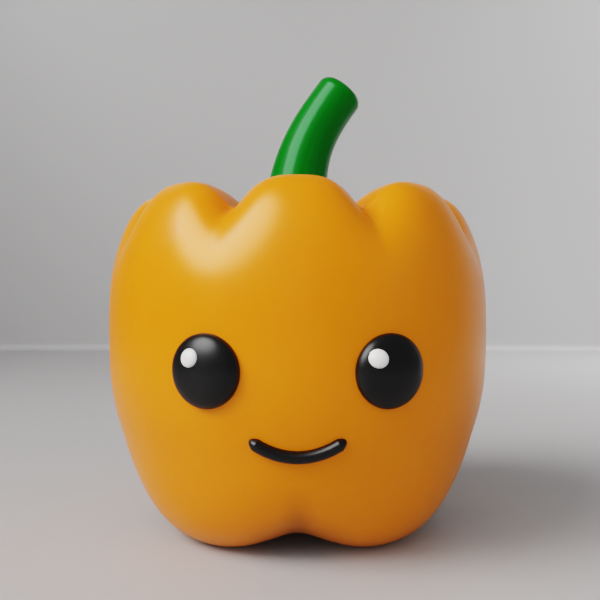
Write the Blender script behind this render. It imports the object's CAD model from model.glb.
import math

import bpy
import numpy as np
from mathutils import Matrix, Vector


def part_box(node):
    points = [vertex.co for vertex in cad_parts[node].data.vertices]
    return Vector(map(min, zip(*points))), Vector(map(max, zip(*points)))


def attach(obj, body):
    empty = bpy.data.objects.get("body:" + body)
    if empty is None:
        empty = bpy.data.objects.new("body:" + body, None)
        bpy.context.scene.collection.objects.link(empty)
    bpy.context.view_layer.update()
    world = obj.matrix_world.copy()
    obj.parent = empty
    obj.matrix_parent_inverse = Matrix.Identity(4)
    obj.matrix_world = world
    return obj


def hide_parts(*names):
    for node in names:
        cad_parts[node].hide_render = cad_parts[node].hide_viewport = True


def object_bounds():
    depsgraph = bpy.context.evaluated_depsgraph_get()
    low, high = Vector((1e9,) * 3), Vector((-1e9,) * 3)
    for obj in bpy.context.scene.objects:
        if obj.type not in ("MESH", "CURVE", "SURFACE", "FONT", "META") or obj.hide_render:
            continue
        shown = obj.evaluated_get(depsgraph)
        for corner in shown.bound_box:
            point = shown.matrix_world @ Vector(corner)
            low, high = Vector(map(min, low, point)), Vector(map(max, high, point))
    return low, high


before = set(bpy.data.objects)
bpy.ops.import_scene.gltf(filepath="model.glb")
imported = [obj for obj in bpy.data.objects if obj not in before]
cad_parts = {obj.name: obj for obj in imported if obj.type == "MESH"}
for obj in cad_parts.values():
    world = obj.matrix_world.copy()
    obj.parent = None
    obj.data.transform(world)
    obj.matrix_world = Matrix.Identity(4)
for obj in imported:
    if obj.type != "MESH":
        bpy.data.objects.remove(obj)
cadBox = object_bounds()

scene = bpy.context.scene
fruitLow, fruitHigh = (np.array(corner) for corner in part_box("fruit"))

# Metres throughout. angle runs round the fruit from its front (-Y) towards +X. place runs along its
# meridian: 0 middle of the base, 1 feet, 2 taper ring, 3 widest ring, 4 crest, 5 neck of the top hollow and
# 6 its bottom.


# Helpers: meshes

# 0 up to low and 1 from high on, with 3tt - 2ttt between them, which starts and ends level.
def smoothStep(x, low, high):
    t = np.clip((x - low) / (high - low), 0.0, 1.0)
    return t * t * (3 - 2 * t)


# A straight line from a, at share 0, to b, at share 1.
def mix(a, b, share):
    return a + (b - a) * share


def turn(count):
    return np.arange(count) / count * 2 * math.pi  # one full turn in equal steps


# A closed body from a point, a stack of rings as an array (rows, columns, 3), and a point. Quads join row r
# to r + 1 and column c to c + 1, the last column joins the first, and a fan closes each end. Attributes are
# arrays (rows, columns) or (rows, columns, 3), and the two end points take the mean of the nearest row.
def closedSkin(name, first, rings, last, **attributes):
    rows, columns, _ = rings.shape
    points = np.concatenate([np.reshape(first, (1, 3)), rings.reshape(-1, 3), np.reshape(last, (1, 3))])
    index = 1 + np.arange(rows * columns).reshape(rows, columns)
    after = np.roll(index, -1, axis=1)
    quads = np.stack([index[:-1], after[:-1], after[1:], index[1:]], axis=-1).reshape(-1, 4)
    firstFan = np.stack([np.zeros(columns, int), after[0], index[0]], axis=-1)
    lastFan = np.stack([index[-1], after[-1], np.full(columns, rows * columns + 1)], axis=-1)
    mesh = bpy.data.meshes.new(name)
    mesh.from_pydata(points.tolist(), [], quads.tolist() + firstFan.tolist() + lastFan.tolist())
    mesh.polygons.foreach_set("use_smooth", np.ones(len(mesh.polygons), bool))
    for label, values in attributes.items():
        wide = values.ndim == 3
        flat = values.reshape(rows * columns, -1)
        ends = [flat[:columns].mean(axis=0, keepdims=True), flat[-columns:].mean(axis=0, keepdims=True)]
        everyPoint = np.concatenate([ends[0], flat, ends[1]]).ravel()
        layer = mesh.attributes.new(label, "FLOAT_VECTOR" if wide else "FLOAT", "POINT")
        layer.data.foreach_set("vector" if wide else "value", everyPoint)
    mesh.update()
    piece = bpy.data.objects.new(name, mesh)
    scene.collection.objects.link(piece)
    return piece


# The piece takes the place of a CAD node, rides on the only body and wears a material.
def standFor(piece, node, material):
    piece.data.materials.append(material)
    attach(piece, "root")
    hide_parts(node)


# Helpers: nodes

# Adds a node. values maps its input sockets to numbers, colours or other nodes' outputs.
def node(tree, kind, values=None, **settings):
    made = tree.nodes.new(kind)
    for key, value in settings.items():
        setattr(made, key, value)
    for key, value in (values or {}).items():
        if isinstance(value, bpy.types.NodeSocket):
            tree.links.new(value, made.inputs[key])
        else:
            made.inputs[key].default_value = value
    return made


# The colour from a, at share 0, to b, at share 1. Each value may also be another node's output.
def mixColour(tree, share, a, b):
    made = node(tree, "ShaderNodeMix", data_type="RGBA")
    for key, value in ((0, share), (6, a), (7, b)):
        if isinstance(value, bpy.types.NodeSocket):
            tree.links.new(value, made.inputs[key])
        else:
            made.inputs[key].default_value = value
    return made.outputs[2]


# Moves a value from one range to another along a straight line, held at both ends.
def remap(tree, value, fromLow, fromHigh, toLow, toHigh):
    made = node(tree, "ShaderNodeMapRange", {
        "Value": value, "From Min": fromLow, "From Max": fromHigh, "To Min": toLow, "To Max": toHigh})
    return made.outputs["Result"]


# An empty material with one shader on its output: the material, its nodes and the shader.
def newMaterial(name):
    material = bpy.data.materials.new(name)
    material.use_nodes = True
    tree = material.node_tree
    tree.nodes.clear()
    shader = node(tree, "ShaderNodeBsdfPrincipled")
    output = node(tree, "ShaderNodeOutputMaterial")
    tree.links.new(shader.outputs[0], output.inputs["Surface"])
    return material, tree, shader


# The grain that every material shares. Blotch and Pores are masks from 0 to 1, broad and fine, and Normal
# bends the surface by pores that are Height metres deep.
def buildSurfaceGrain():
    group = bpy.data.node_groups.new("surfaceGrain", "ShaderNodeTree")
    for label, kind, value in (
        ("Vector", "NodeSocketVector", None),
        ("Blotch Scale", "NodeSocketFloat", 40.0),
        ("Pore Scale", "NodeSocketFloat", 900.0),
        ("Height", "NodeSocketFloat", 0.00002),
    ):
        socket = group.interface.new_socket(label, in_out="INPUT", socket_type=kind)
        if value is not None:
            socket.default_value = value
    for label, kind in (
        ("Blotch", "NodeSocketFloat"),
        ("Pores", "NodeSocketFloat"),
        ("Normal", "NodeSocketVector"),
    ):
        group.interface.new_socket(label, in_out="OUTPUT", socket_type=kind)
    entry = node(group, "NodeGroupInput")
    leave = node(group, "NodeGroupOutput")
    blotch = node(group, "ShaderNodeTexNoise", {
        "Vector": entry.outputs["Vector"], "Scale": entry.outputs["Blotch Scale"], "Detail": 3.0,
        "Roughness": 0.55})
    pores = node(group, "ShaderNodeTexNoise", {
        "Vector": entry.outputs["Vector"], "Scale": entry.outputs["Pore Scale"], "Detail": 2.0,
        "Roughness": 0.5})
    bump = node(group, "ShaderNodeBump", {
        "Height": pores.outputs["Fac"], "Distance": entry.outputs["Height"], "Strength": 1.0})
    group.links.new(blotch.outputs["Fac"], leave.inputs["Blotch"])
    group.links.new(pores.outputs["Fac"], leave.inputs["Pores"])
    group.links.new(bump.outputs["Normal"], leave.inputs["Normal"])
    return group


surfaceGrain = buildSurfaceGrain()


# The fruit's shape

fruitShape = dict(
    bodyRadius=float(fruitHigh[0]),
    widestHeight=0.0473,
    crestRadius=0.0332,  # of the ring of ridges round the top
    crestHeight=float(fruitHigh[2]),
    neckRadius=0.010,  # of the funnel round the stalk
    neckDrop=0.009,
    neckSlope=0.11,
    hollowDrop=0.014,
    taperRadius=0.0412,  # of the ring where the side draws in most evenly towards the feet
    taperHeight=0.0231,
    taperSlope=0.316,
    footRadius=0.0234,
    footSink=0.0003,  # how much of each round foot is pressed flat
    baseHollowHeight=0.008,
    footHandle=0.0126,
    lowTaperHandle=0.0096,
    highTaperHandle=0.0081,
    lowBodyHandle=0.011,
    highBodyHandle=0.0196,
    crestHandle=0.0053,
    topLobes=8,
    topGrooveDepth=0.0061,
    topGrooveWidth=0.12,
    topLobeFullness=1.6,
    topGrooveStart=0.14,
    topGrooveFull=0.85,
    topGrooveTurn=1.4,
    baseLobes=4,
    baseGrooveDepth=0.00505,
    baseGrooveWidth=0.12,
    baseLobeFullness=1.17,
    baseGrooveEnd=0.9,
    baseCreaseWidth=0.16,  # of the shaded line along a base groove, as a share of a lobe's wave
    scarRadius=0.0016,
    scarHeight=0.0006,
    columns=480,
    crowding=0.3,  # of the columns towards the top grooves
    rows=(16, 40, 30, 60, 34, 10),
)


# The control points of six cubic curves in (radius, height) along a ridge, from the base to the top hollow.
def buildMeridian(s):
    body, widest, crestR, crest = s["bodyRadius"], s["widestHeight"], s["crestRadius"], s["crestHeight"]
    neckR, neck, hollow = s["neckRadius"], crest - s["neckDrop"], crest - s["hollowDrop"]
    taperR, taper, slope = s["taperRadius"], s["taperHeight"], s["taperSlope"]
    footR, foot, base = s["footRadius"], -s["footSink"], s["baseHollowHeight"]
    low, high, funnel = s["lowTaperHandle"], s["highTaperHandle"], crestR - neckR
    return np.array([
        [[0, base], [0.35 * footR, base], [0.55 * footR, foot], [footR, foot]],
        [
            [footR, foot],
            [footR + s["footHandle"], foot],
            [taperR - slope * low, taper - low],
            [taperR, taper],
        ],
        [
            [taperR, taper],
            [taperR + slope * high, taper + high],
            [body, widest - s["lowBodyHandle"]],
            [body, widest],
        ],
        [
            [body, widest],
            [body, widest + s["highBodyHandle"]],
            [crestR + s["crestHandle"], crest],
            [crestR, crest],
        ],
        [
            [crestR, crest],
            [crestR - 0.5 * funnel, crest],
            [neckR + 0.35 * funnel, neck + s["neckSlope"] * 0.35 * funnel],
            [neckR, neck],
        ],
        [
            [neckR, neck],
            [0.7 * neckR, neck - s["neckSlope"] * 0.3 * neckR],
            [0.35 * neckR, hollow],
            [0, hollow],
        ],
    ])


meridian = buildMeridian(fruitShape)


# The place and the unit direction on cubic curves: points is (..., 4, d) and t is (...).
def cubicCurve(points, t):
    t = t[..., None]
    u = 1 - t
    a, b, c, d = (points[..., k, :] for k in range(4))
    place = u**3 * a + 3 * u * u * t * b + 3 * u * t * t * c + t**3 * d
    way = u * u * (b - a) + 2 * u * t * (c - b) + t * t * (d - c)
    return place, way / np.linalg.norm(way, axis=-1, keepdims=True)


# 1 along the ridge of a lobe and 0 along a groove, where wave is 0. The wave is folded at 0 by a hyperbola
# whose width rounds the groove's bottom, and a power blunts the lobe.
def lobe(wave, width, fullness):
    folded = (np.hypot(wave, width) - width) / (math.hypot(1, width) - width)
    return 1 - np.maximum(0, 1 - folded) ** fullness


# How far the top grooves and the base grooves press the skin in: two arrays in metres.
def grooveDepths(angle, place):
    s = fruitShape
    curve = np.minimum(np.floor(place), 5)
    t = place - curve
    topRise = smoothStep(t, s["topGrooveStart"], s["topGrooveFull"])
    overCrest = 1 - 0.75 * smoothStep(t, 0, 1)
    intoHollow = 0.25 * (1 - smoothStep(t, 0, 0.8))
    top = np.select([curve == 3, curve == 4, curve == 5], [topRise, overCrest, intoHollow], 0.0)
    baseFade = 1 - smoothStep(t, 0, s["baseGrooveEnd"])
    base = np.select([curve == 0, curve == 1], [smoothStep(t, 0, 1), baseFade], 0.0)
    topLobe = lobe(np.cos(0.5 * s["topLobes"] * angle), s["topGrooveWidth"], s["topLobeFullness"])
    baseLobe = lobe(np.sin(0.5 * s["baseLobes"] * angle), s["baseGrooveWidth"], s["baseLobeFullness"])
    return s["topGrooveDepth"] * top * (1 - topLobe), s["baseGrooveDepth"] * base * (1 - baseLobe)


# The meridian turned round the axis, then lifted along its own normal and pressed in by the grooves. Up to
# the widest ring a groove is pressed against the normal too. From there its way turns from level to upright
# at the crest and stays upright in the hollow, so that no groove folds over itself.
def skinPoint(angle, place, lift=0.0):
    angle, place, lift = np.broadcast_arrays(np.asarray(angle, float), np.asarray(place, float), lift)
    curve = np.minimum(np.floor(place), 5).astype(int)
    point, way = cubicCurve(meridian[curve], place - curve)
    normal = np.stack([way[..., 1], -way[..., 0]], axis=-1)
    turned = np.clip(place - 3, 0, 1) ** fruitShape["topGrooveTurn"] * 0.5 * math.pi
    topWay = np.stack([np.cos(turned), np.sin(turned)], axis=-1)
    outOfGroove = np.where((place > 3)[..., None], topWay, normal)
    pressed = sum(grooveDepths(angle, place))
    point = point + normal * lift[..., None] - outOfGroove * pressed[..., None]
    radius, height = point[..., 0], point[..., 1]
    return np.stack([radius * np.sin(angle), -radius * np.cos(angle), height], axis=-1)


# The whole skin, on a grid of angles and places. Its columns crowd by a sine towards the top grooves, the
# blossom's scar is a bell curve of the distance from the axis, and the feet are cut level.
def makeFruit():
    s = fruitShape
    counts = s["rows"]
    places = np.concatenate([curve + np.arange(count) / count for curve, count in enumerate(counts)])[1:]
    around = turn(s["columns"])
    around = around + s["crowding"] * np.sin(s["topLobes"] * around) / s["topLobes"]
    angle, place = np.meshgrid(around, places)
    points = skinPoint(angle, place)
    fromAxis = np.hypot(points[..., 0], points[..., 1])
    scar = np.exp(-((fromAxis / s["scarRadius"]) ** 2)) * (place < 1)
    points[..., 2] -= s["scarHeight"] * scar  # the nub that the blossom left
    points[..., 2] = np.maximum(points[..., 2], fruitLow[2])  # the feet are pressed flat
    top, base = grooveDepths(angle, place)
    # A narrow band along the bottom of each base groove, which fades more slowly than the groove itself.
    baseWave = np.sin(0.5 * s["baseLobes"] * angle)
    baseStrength = grooveDepths(0 * angle, place)[1] / s["baseGrooveDepth"]
    baseCrease = np.exp(-((baseWave / s["baseCreaseWidth"]) ** 2)) * baseStrength**0.75
    funnel = smoothStep(place, 4.1, 4.9)
    grain = np.stack([np.sin(angle), np.cos(angle), 0.25 * place], axis=-1)
    first = skinPoint(0, 0) - np.array([0, 0, s["scarHeight"]])
    return closedSkin(
        "pepperFruit",
        first,
        points,
        skinPoint(0, 6),
        topGroove=top / s["topGrooveDepth"],
        baseGroove=base / s["baseGrooveDepth"],
        baseCrease=baseCrease,
        scar=scar,
        funnel=funnel,
        grain=grain,
    )


skinLook = dict(
    orange=(0.73, 0.208, 0.002, 1),
    warmer=(0.715, 0.195, 0.002, 1),
    deeper=(0.64, 0.150, 0.001, 1),
    shaded=(0.26, 0.070, 0.001, 1),
    paler=(0.76, 0.24, 0.004, 1),
    scarBrown=(0.16, 0.07, 0.02, 1),
    roughness=0.29,
    unevenness=0.013,  # of the roughness
    gloss=0.6,
    glossTint=(1.0, 0.70, 0.50, 1),
)


# Waxy skin: broad blotches and faint streaks along the meridians, deeper in the grooves, paler in the funnel
# and brown on the scar, with fine pores and a slightly uneven sheen.
def makeSkinMaterial():
    look = skinLook
    material, tree, shader = newMaterial("pepperSkin")
    coords = node(tree, "ShaderNodeTexCoord").outputs["Object"]
    grain = node(tree, "ShaderNodeGroup", node_tree=surfaceGrain, values={
        "Vector": coords, "Blotch Scale": 28.0, "Pore Scale": 1400.0, "Height": 0.000012})
    streakPlace = node(tree, "ShaderNodeAttribute", attribute_name="grain").outputs["Vector"]
    streaks = node(tree, "ShaderNodeTexNoise", {"Vector": streakPlace, "Scale": 9.0, "Detail": 4.0})
    topGroove = node(tree, "ShaderNodeAttribute", attribute_name="topGroove").outputs["Fac"]
    baseGroove = node(tree, "ShaderNodeAttribute", attribute_name="baseGroove").outputs["Fac"]
    baseCrease = node(tree, "ShaderNodeAttribute", attribute_name="baseCrease").outputs["Fac"]
    scarMask = node(tree, "ShaderNodeAttribute", attribute_name="scar").outputs["Fac"]
    funnelMask = node(tree, "ShaderNodeAttribute", attribute_name="funnel").outputs["Fac"]
    blotch = remap(tree, grain.outputs["Blotch"], 0.2, 0.8, 0, 1)
    colour = mixColour(tree, blotch, look["orange"], look["warmer"])
    colour = mixColour(tree, remap(tree, streaks.outputs["Fac"], 0.1, 0.9, 0, 0.3), colour, look["paler"])
    colour = mixColour(tree, remap(tree, topGroove, 0.3, 1, 0, 0.5), colour, look["deeper"])
    colour = mixColour(tree, remap(tree, baseGroove, 0.2, 0.75, 0, 1), colour, look["shaded"])
    colour = mixColour(tree, remap(tree, baseCrease, 0.05, 0.7, 0, 0.75), colour, look["shaded"])
    colour = mixColour(tree, remap(tree, funnelMask, 0, 1, 0, 0.5), colour, look["paler"])
    colour = mixColour(tree, remap(tree, scarMask, 0.3, 0.8, 0, 1), colour, look["scarBrown"])
    tree.links.new(colour, shader.inputs["Base Color"])
    smoother, rougher = look["roughness"] - look["unevenness"], look["roughness"] + look["unevenness"]
    rough = remap(tree, blotch, 0, 1, smoother, rougher)
    tree.links.new(rough, shader.inputs["Roughness"])
    tree.links.new(grain.outputs["Normal"], shader.inputs["Normal"])
    shader.inputs["Specular IOR Level"].default_value = look["gloss"]
    shader.inputs["Specular Tint"].default_value = look["glossTint"]
    shader.inputs["Subsurface Weight"].default_value = 0.12
    shader.inputs["Subsurface Radius"].default_value = (1.0, 0.4, 0.08)
    shader.inputs["Subsurface Scale"].default_value = 0.003
    return material


standFor(makeFruit(), "fruit", makeSkinMaterial())
print("fruit made")


# The stalk and its calyx

stalkShape = dict(
    line=np.array([[-0.0007, 0, 0.066], [-0.0008, 0, 0.0857], [0.0026, 0, 0.0918], [0.0107, 0, 0.1026]]),
    radius=0.0056,  # at the cut end
    flare=0.0028,  # added at the root
    rim=0.0015,  # rounding of the cut end
    bulge=0.0012,  # of the cut end
    calyxThickness=0.0018,
    calyxEdge=0.0009,
    calyxReach=4.7,
    calyxPoints=8,
    calyxPointLength=0.08,
    filletStart=4.93,
    filletEnd=0.2,
    sink=0.0002,
    ribHeight=0.00003,
    columns=160,
)


# A point at a distance from the bent middle line, in the plane square to it; past slides it along the line.
def stalkPoint(angle, along, distance, past=0.0):
    angle, along, distance, past = np.broadcast_arrays(angle, np.asarray(along, float), distance, past)
    middle, way = cubicCurve(np.broadcast_to(stalkShape["line"], along.shape + (4, 3)), along)
    sideways = np.stack([way[..., 2], 0 * along, -way[..., 0]], axis=-1)
    forward = np.array([0.0, -1.0, 0.0])
    return (
        middle
        + way * past[..., None]
        + sideways * (distance * np.sin(angle))[..., None]
        + forward * (distance * np.cos(angle))[..., None]
    )


# One closed skin from the hollow's bottom to the cut end: the star's underside, edge and upper face, whose
# points are a cosine of the angle, then a fillet, the tapered side with its ribs, a quarter-round rim and the
# cut face, which bulges as a parabola.
def makeStalk():
    s = stalkShape
    around = turn(s["columns"])[None, :]
    edgePlace = s["calyxReach"] + s["calyxPointLength"] * np.cos(s["calyxPoints"] * around)
    ribs = np.cos(5 * around) + 0.5 * np.cos(11 * around + 1.0) + 0.35 * np.cos(23 * around)

    def radiusAt(along):
        rib = s["ribHeight"] * ribs * smoothStep(1 - along, 0.0, 0.3)
        return s["radius"] + s["flare"] * (1 - along) ** 2 + rib

    def bulgeAt(distance):
        return s["bulge"] * (1 - (distance / s["radius"]) ** 2)

    toEdge = np.linspace(0, 1, 14)[1:-1, None]
    underside = skinPoint(around, mix(6.0, edgePlace, toEdge), -s["sink"])

    # The star's edge is a half turn of its thickness, then its upper face rises towards the stalk.
    turnOver = np.linspace(-0.5, 0.5, 7)[:, None] * math.pi
    middle = -s["sink"] + 0.5 * (s["calyxEdge"] + s["sink"])
    halfEdge = 0.5 * (s["calyxEdge"] + s["sink"])
    edge = skinPoint(around, edgePlace - 0.03 * np.cos(turnOver), middle + halfEdge * np.sin(turnOver))
    inwards = np.linspace(0, 1, 12)[1:, None]
    vein = 0.0003 * np.cos(s["calyxPoints"] * around) * np.sin(math.pi * inwards)
    topLift = mix(s["calyxEdge"], s["calyxThickness"], inwards) - vein
    topside = skinPoint(around, mix(edgePlace, s["filletStart"], inwards), topLift)

    # The fillet is a quadratic curve by way of the stalk's foot.
    t = np.linspace(0, 1, 14)[1:-1, None, None]
    start = skinPoint(around, s["filletStart"], s["calyxThickness"])[0]
    end = stalkPoint(around, s["filletEnd"], radiusAt(s["filletEnd"]), -s["rim"] * s["filletEnd"])[0]
    foot = stalkPoint(around, 0.5 * s["filletEnd"], radiusAt(s["filletEnd"]))[0]
    fillet = (1 - t) ** 2 * start + 2 * t * (1 - t) * foot + t**2 * end

    along = np.linspace(s["filletEnd"], 1, 60)[:-1, None]
    side = stalkPoint(around, along, radiusAt(along), -s["rim"] * along)
    roll = np.linspace(0, 0.5, 12)[:, None] * math.pi
    rimDistance = s["radius"] - s["rim"] * (1 - np.cos(roll))
    cutRim = stalkPoint(around, 1.0, rimDistance, bulgeAt(rimDistance) - s["rim"] * (1 - np.sin(roll)))
    faceDistance = (s["radius"] - s["rim"]) * np.linspace(1, 0, 9)[1:-1, None]
    cutFace = stalkPoint(around, 1.0, faceDistance, bulgeAt(faceDistance))

    rings = np.concatenate([underside, edge, topside, fillet, side, cutRim, cutFace])
    counts = [len(underside) + len(edge) + len(topside), len(fillet), len(side), len(cutRim), len(cutFace)]
    leaf = np.concatenate([np.ones(counts[0]), np.linspace(1, 0, counts[1]), np.zeros(sum(counts[2:]))])
    cut = np.concatenate([np.zeros(sum(counts[:3])), np.linspace(0, 0.6, counts[3]), np.ones(counts[4])])
    length = np.concatenate([np.linspace(0, 0.3, sum(counts[:2])), np.linspace(0.3, 1, sum(counts[2:]))])
    shape = rings.shape[:2]
    angle = np.broadcast_to(around, shape)
    grain = np.stack([np.sin(angle), np.cos(angle), np.broadcast_to(length[:, None], shape)], axis=-1)
    return closedSkin(
        "pepperStalk",
        skinPoint(0, 6, -s["sink"]),
        rings,
        stalkPoint(np.zeros(()), 1.0, 0.0, s["bulge"]),
        leaf=np.broadcast_to(leaf[:, None], shape).copy(),
        cut=np.broadcast_to(cut[:, None], shape).copy(),
        grain=grain,
    )


stalkLook = dict(
    green=(0.0001, 0.148, 0.007, 1),
    darker=(0.0001, 0.130, 0.006, 1),
    leafGreen=(0.002, 0.135, 0.006, 1),
    cutGreen=(0.003, 0.17, 0.012, 1),
    roughness=0.22,
    gloss=0.30,
    glossTint=(0.60, 0.86, 0.78, 1),
)


# Smooth green with fibres that are noise stretched along the stalk, and a lighter cut end.
def makeStalkMaterial():
    look = stalkLook
    material, tree, shader = newMaterial("stalkGreen")
    coords = node(tree, "ShaderNodeTexCoord").outputs["Object"]
    grain = node(tree, "ShaderNodeGroup", node_tree=surfaceGrain, values={
        "Vector": coords, "Blotch Scale": 90.0, "Pore Scale": 1800.0, "Height": 0.00001})
    place = node(tree, "ShaderNodeAttribute", attribute_name="grain").outputs["Vector"]
    stretch = node(tree, "ShaderNodeMapping", {"Vector": place, "Scale": (9.0, 9.0, 1.2)})
    fibres = node(tree, "ShaderNodeTexNoise", {"Vector": stretch.outputs[0], "Scale": 2.2, "Detail": 5.0})
    leafMask = node(tree, "ShaderNodeAttribute", attribute_name="leaf").outputs["Fac"]
    cutMask = node(tree, "ShaderNodeAttribute", attribute_name="cut").outputs["Fac"]
    blotch = remap(tree, grain.outputs["Blotch"], 0.35, 0.7, 0, 0.5)
    colour = mixColour(tree, blotch, look["green"], look["darker"])
    colour = mixColour(tree, leafMask, colour, look["leafGreen"])
    colour = mixColour(tree, remap(tree, fibres.outputs["Fac"], 0.35, 0.7, 0.35, 0), colour, look["darker"])
    colour = mixColour(tree, remap(tree, cutMask, 0.6, 1, 0, 0.7), colour, look["cutGreen"])
    tree.links.new(colour, shader.inputs["Base Color"])
    rough = remap(tree, fibres.outputs["Fac"], 0.3, 0.7, look["roughness"] - 0.02, look["roughness"] + 0.05)
    tree.links.new(rough, shader.inputs["Roughness"])
    bump = node(tree, "ShaderNodeBump", {
        "Height": fibres.outputs["Fac"], "Distance": 0.00001, "Strength": 0.5,
        "Normal": grain.outputs["Normal"]})
    tree.links.new(bump.outputs["Normal"], shader.inputs["Normal"])
    shader.inputs["Specular IOR Level"].default_value = look["gloss"]
    shader.inputs["Specular Tint"].default_value = look["glossTint"]
    return material


standFor(makeStalk(), "stalk_and_calyx", makeStalkMaterial())
print("stalk made")


# The face

faceShape = dict(
    seat=0.0003,  # the height at which the pieces sit on the skin
    sink=0.0005,  # how far their undersides go into it, so that no gap shows
    eyeRadius=0.007,
    eyeDome=0.0028,
    eyeSpread=0.017,
    eyeHeight=0.039,
    glintRadius=0.0017,
    glintDome=0.0005,
    glintRise=0.0026,
    glintAside=0.0026,
    glintTurn=0.0009,  # added on the right eye and taken off on the left, as both eyes face outwards
    mouthWidth=0.018,
    mouthDip=0.0032,
    mouthHeight=0.0265,
    lipWidth=0.0023,
    lipDome=0.0013,
)

ridgePlaces = np.linspace(1, 4, 6001)
ridgeHeights = skinPoint(math.pi / 4, ridgePlaces)[:, 2]  # grows all the way from the feet to the crest


# A patch of skin round a centre: it turns flat distances across and up, and a lift, into points.
def patch(centreAcross, centreHeight):
    place = np.interp(centreHeight, ridgeHeights, ridgePlaces)
    radius = -skinPoint(0, place)[1]
    angle = math.asin(centreAcross / radius)
    centre = skinPoint(angle, place)
    east = np.array([math.cos(angle), math.sin(angle), 0])
    out = skinPoint(angle, place, 1.0) - centre
    north = np.cross(out, east)

    def pointAt(across, up, lift):
        flat = centre + across[..., None] * east + up[..., None] * north
        height = np.interp(flat[..., 2], ridgeHeights, ridgePlaces)
        return skinPoint(np.arctan2(flat[..., 0], -flat[..., 1]), height, lift)

    return pointAt


# A round cap with the section of an ellipse, on a floor that follows what it lies on.
def makeDome(name, pointAt, radius, dome, sink, columns=72, count=18):
    angle = turn(columns)[None, :]
    floor = np.linspace(0, 1, 8)[1:-1, None]
    turnUp = np.linspace(0, 0.5, count)[:-1, None] * math.pi
    share = np.concatenate([floor, np.ones((1, 1)), np.cos(turnUp)])
    lift = np.concatenate([np.full((7, 1), -sink), dome * np.sin(turnUp)])
    rings = pointAt(radius * share * np.cos(angle), radius * share * np.sin(angle), lift + 0 * angle)
    zero = np.zeros(())
    return closedSkin(name, pointAt(zero, zero, -sink), rings, pointAt(zero, zero, dome))


# A dome on the skin, and a small dome that lies on its surface. side is -1 or 1, for left or right.
def makeEye(side, name, eyeNode, glintNode):
    s = faceShape
    onSkin = patch(side * s["eyeSpread"], s["eyeHeight"])

    def onSeat(across, up, lift):
        return onSkin(across, up, lift + s["seat"])

    def onDome(across, up, lift):
        x = across - s["glintAside"] - side * s["glintTurn"]
        y = up + s["glintRise"]
        domeLift = s["eyeDome"] * np.sqrt(1 - (x**2 + y**2) / s["eyeRadius"] ** 2)
        return onSeat(x, y, domeLift + lift)

    eye = makeDome(name, onSeat, s["eyeRadius"], s["eyeDome"], s["sink"] + s["seat"])
    standFor(eye, eyeNode, faceBlack)
    glint = makeDome(name + "Glint", onDome, s["glintRadius"], s["seat"] + s["glintDome"], 0.0002, 48, 12)
    standFor(glint, glintNode, faceWhite)


# A parabola on the skin with a half-round section that narrows to a point at both corners.
def makeMouth():
    s = faceShape
    onSkin = patch(0, s["mouthHeight"])
    half = 0.5 * s["mouthWidth"]
    across = (-half * np.cos(np.linspace(0, math.pi, 121)))[1:-1, None]
    fullness = np.minimum(1, np.sqrt((half - np.abs(across)) / (0.5 * s["lipWidth"])))
    slope = np.arctan(2 * s["mouthDip"] * across / half**2)
    angle = turn(40)[None, :]
    sideways = 0.5 * s["lipWidth"] * fullness * np.cos(angle)
    lift = s["seat"] + s["lipDome"] * fullness * np.maximum(0, np.sin(angle))
    lift = np.where(np.sin(angle) < -1e-6, -s["sink"] * fullness, lift)
    up = s["mouthDip"] * ((across / half) ** 2 - 1)
    rings = onSkin(across - sideways * np.sin(slope), up + sideways * np.cos(slope), lift)
    corners = [onSkin(np.array(x), np.zeros(()), s["seat"]) for x in (-half, half)]
    return closedSkin("mouthTrim", corners[0], rings, corners[1])


# Polished hard trim: an even colour with faint fine specks and a slightly uneven polish.
def makeTrimMaterial(name, colour, marked, roughness):
    material, tree, shader = newMaterial(name)
    coords = node(tree, "ShaderNodeTexCoord").outputs["Object"]
    grain = node(tree, "ShaderNodeGroup", node_tree=surfaceGrain, values={
        "Vector": coords, "Blotch Scale": 160.0, "Pore Scale": 2600.0, "Height": 0.000004})
    tree.links.new(
        mixColour(tree, remap(tree, grain.outputs["Pores"], 0.5, 0.8, 0, 0.4), colour, marked),
        shader.inputs["Base Color"])
    rough = remap(tree, grain.outputs["Blotch"], 0.3, 0.7, roughness - 0.03, roughness + 0.05)
    tree.links.new(rough, shader.inputs["Roughness"])
    tree.links.new(grain.outputs["Normal"], shader.inputs["Normal"])
    return material


faceBlack = makeTrimMaterial("faceBlack", (0.004, 0.004, 0.004, 1), (0.009, 0.008, 0.008, 1), 0.31)
faceWhite = makeTrimMaterial("faceWhite", (0.78, 0.76, 0.75, 1), (0.70, 0.68, 0.67, 1), 0.35)

makeEye(-1, "leftEye", "left_eye", "left_eye_glint")
makeEye(1, "rightEye", "right_eye", "right_eye_glint")
standFor(makeMouth(), "mouth", faceBlack)
print("face made")


# The studio

studio = dict(
    wallBehind=0.553,
    wallHeight=2.4,
    halfWidth=3.0,
    floorFront=-2.4,
    cove=0.007,
    grey=(0.420, 0.418, 0.419, 1),
    sky=(0.60, 0.60, 0.605, 1),
    skyStrength=0.48,
)


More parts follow.
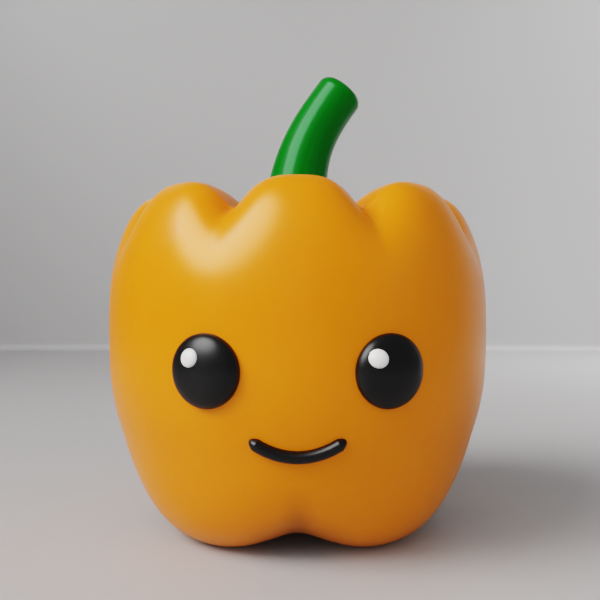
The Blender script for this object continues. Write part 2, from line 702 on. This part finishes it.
# One sheet: the floor, a small quarter-round cove and the wall behind, drawn as a profile in (y, z).
def makeBackdrop():
    s = studio
    floorLevel = cadBox[0][2]
    bend = np.linspace(0, 0.5 * math.pi, 9)
    coveY = s["wallBehind"] - s["cove"] * (1 - np.sin(bend))
    coveZ = s["cove"] * (1 - np.cos(bend))
    y = np.concatenate([[s["floorFront"]], coveY, [s["wallBehind"]]])
    z = np.concatenate([[0], coveZ, [s["wallHeight"]]]) + floorLevel
    points = np.stack([
        np.repeat([[-s["halfWidth"]], [s["halfWidth"]]], len(y), axis=1),
        np.stack([y, y]), np.stack([z, z])], axis=-1).reshape(-1, 3)
    count = len(y)
    quads = [(k, count + k, count + k + 1, k + 1) for k in range(count - 1)]
    mesh = bpy.data.meshes.new("studioBackdrop")
    mesh.from_pydata(points.tolist(), [], quads)
    backdrop = bpy.data.objects.new("studioBackdrop", mesh)
    scene.collection.objects.link(backdrop)
    material, tree, shader = newMaterial("backdropGrey")
    shader.inputs["Base Color"].default_value = s["grey"]
    shader.inputs["Roughness"].default_value = 0.55
    mesh.materials.append(material)
    return backdrop


# A round area light at a place, turned so that it shines at its aim.
def makeLight(name, place, aim, size, power, spread=180, colour=(1.0, 1.0, 1.0)):
    data = bpy.data.lights.new(name, "AREA")
    data.shape = "DISK"
    data.size = size
    data.energy = power
    data.color = colour
    data.spread = math.radians(spread)
    light = bpy.data.objects.new(name, data)
    light.location = place
    light.rotation_euler = (Vector(aim) - Vector(place)).to_track_quat("-Z", "Y").to_euler()
    scene.collection.objects.link(light)
    return light


floor = makeBackdrop()

# Round area lights: places and sizes in metres, power in watts, spread in degrees. Those for shade light the
# surfaces and aren't seen in them, and those for shine show only in reflections.
middle = (0, 0, 0.045)
shadeLights = dict(
    keyLight=dict(
        place=(-0.887, -0.377, 0.971), aim=(0.45, 0.10, 0.15), size=0.90, power=4.60, spread=75,
        colour=(1.0, 0.955, 0.94)),
    frontLight=dict(place=(-0.05, -0.42, 0.38), aim=middle, size=0.35, power=0.26),
    leftLight=dict(place=(-0.35, -0.35, 0.30), aim=middle, size=0.35, power=0.78),
    rightLight=dict(place=(0.45, -0.30, 0.25), aim=middle, size=0.35, power=0.24),
    lowFrontLight=dict(place=(-0.05, -0.55, 0.10), aim=middle, size=0.30, power=0.48),
    lowRightLight=dict(place=(0.45, -0.35, 0.10), aim=middle, size=0.30, power=0.15),
    leftWallLight=dict(
        place=(-0.55, 0.15, 0.90), aim=(-0.30, 0.553, 0.60), size=0.40, power=0.55, spread=70),
    rightWallLight=dict(
        place=(0.50, 0.10, 0.70), aim=(0.45, 0.553, 0.25), size=0.30, power=0.70, spread=80),
    rightFloorLight=dict(place=(0.45, 0.25, 0.60), aim=(0.35, 0.30, 0), size=0.20, power=0.38, spread=60),
)
shineLights = dict(
    shineLight=dict(place=(-0.40, -0.35, 0.50), aim=middle, size=0.56, power=5.25),
    edgeLight=dict(place=(0.62, 0.50, 0.12), aim=middle, size=0.70, power=0.30, colour=(0.9, 0.9, 1.0)),
)
for name, settings in shadeLights.items():
    makeLight(name, **settings).visible_glossy = False
for name, settings in shineLights.items():
    makeLight(name, **settings).visible_diffuse = False

world = bpy.data.worlds.new("studioAir")
world.use_nodes = True
air = world.node_tree.nodes["Background"]
air.inputs["Color"].default_value = studio["sky"]
air.inputs["Strength"].default_value = studio["skyStrength"]
scene.world = world
scene.view_settings.view_transform = "Filmic"
scene.view_settings.look = "High Contrast"

cameraView = dict(distance=0.1692, height=0.05205, lens=42.0, sensor=36.0, shiftX=0.0039)
cameraData = bpy.data.cameras.new("studioCamera")
cameraData.lens = cameraView["lens"]
cameraData.sensor_width = cameraView["sensor"]
cameraData.shift_x = cameraView["shiftX"]
cameraData.clip_start = 0.01
camera = bpy.data.objects.new("studioCamera", cameraData)
camera.location = (0, -cameraView["distance"], cameraView["height"])
camera.rotation_euler = (0.5 * math.pi, 0, 0)
scene.collection.objects.link(camera)
scene.camera = camera
print("studio made")
